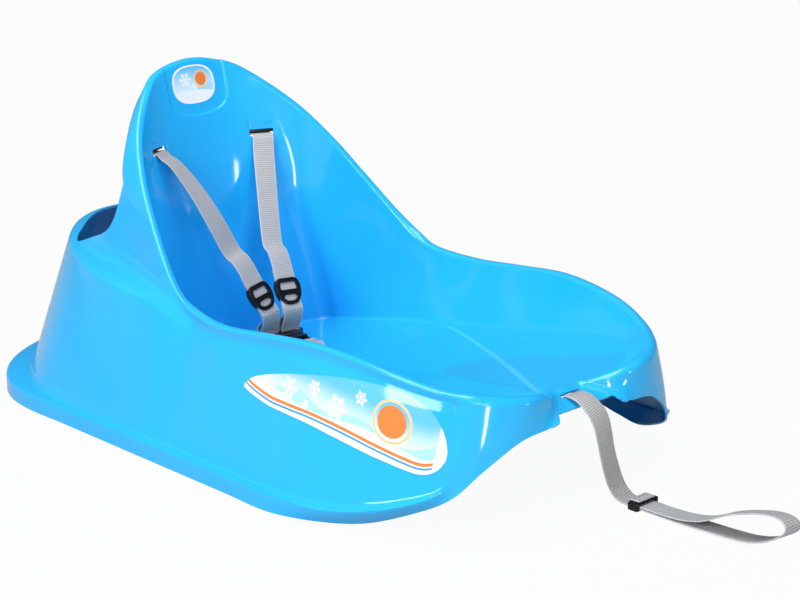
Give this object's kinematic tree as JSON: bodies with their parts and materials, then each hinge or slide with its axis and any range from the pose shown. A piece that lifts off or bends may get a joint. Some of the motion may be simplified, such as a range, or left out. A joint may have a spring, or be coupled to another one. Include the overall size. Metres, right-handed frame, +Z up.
{
  "type": "child's snow sled",
  "caption": "Moulded plastic child's sled with a raised back, a deep seat, a buckled webbing harness and a webbing tow strap with a hand loop.",
  "frame": {"origin": "on the ground, under the middle of the shell's length and width", "axes": "+X forward, the way the sled is towed; +Z up; the sled's left side is at +Y"},
  "size_m": [1.0151, 0.4816, 0.3666],
  "materials": {
    "shell_plastic": "glossy moulded polypropylene, cyan blue",
    "webbing": "light grey woven polypropylene webbing with fine ribs across",
    "black_plastic": "satin black moulded acetal",
    "printed_film": "printed white film under a clear coat"
  },
  "bodies": {
    "sled": {"shell": "shell_plastic", "shoulder_strap_right": "webbing", "shoulder_strap_left": "webbing", "shoulder_stop_right": "black_plastic", "shoulder_stop_left": "black_plastic", "side_decal_right": "printed_film", "side_decal_left": "printed_film", "back_decal": "printed_film", "buckle_socket": "black_plastic", "crotch_strap": "webbing", "crotch_stop": "black_plastic", "tow_strap": "webbing", "tow_stop": "black_plastic"},
    "lock_right": {"adjuster_right": "black_plastic"},
    "lock_left": {"adjuster_left": "black_plastic"},
    "plug": {"buckle_plug": "black_plastic"},
    "slider": {"tow_slider": "black_plastic", "tow_strap_end": "webbing"}
  },
  "joints": [
    {"name": "adjuster_right_slide", "type": "slide", "parent": "sled", "child": "lock_right", "axis": [-0.4894, -0.1998, 0.8489], "range_m": [0, 0.015]},
    {"name": "adjuster_left_slide", "type": "slide", "parent": "sled", "child": "lock_left", "axis": [-0.5031, 0.121, 0.8557], "range_m": [0, 0.015]},
    {"name": "buckle_plug_slide", "type": "slide", "parent": "sled", "child": "plug", "axis": [0.9919, -0.1235, 0.0302], "range_m": [0, 0.01]},
    {"name": "tow_slider_slide", "type": "slide", "parent": "sled", "child": "slider", "axis": [1, 0, 0], "range_m": [0, 0.02]}
  ]
}
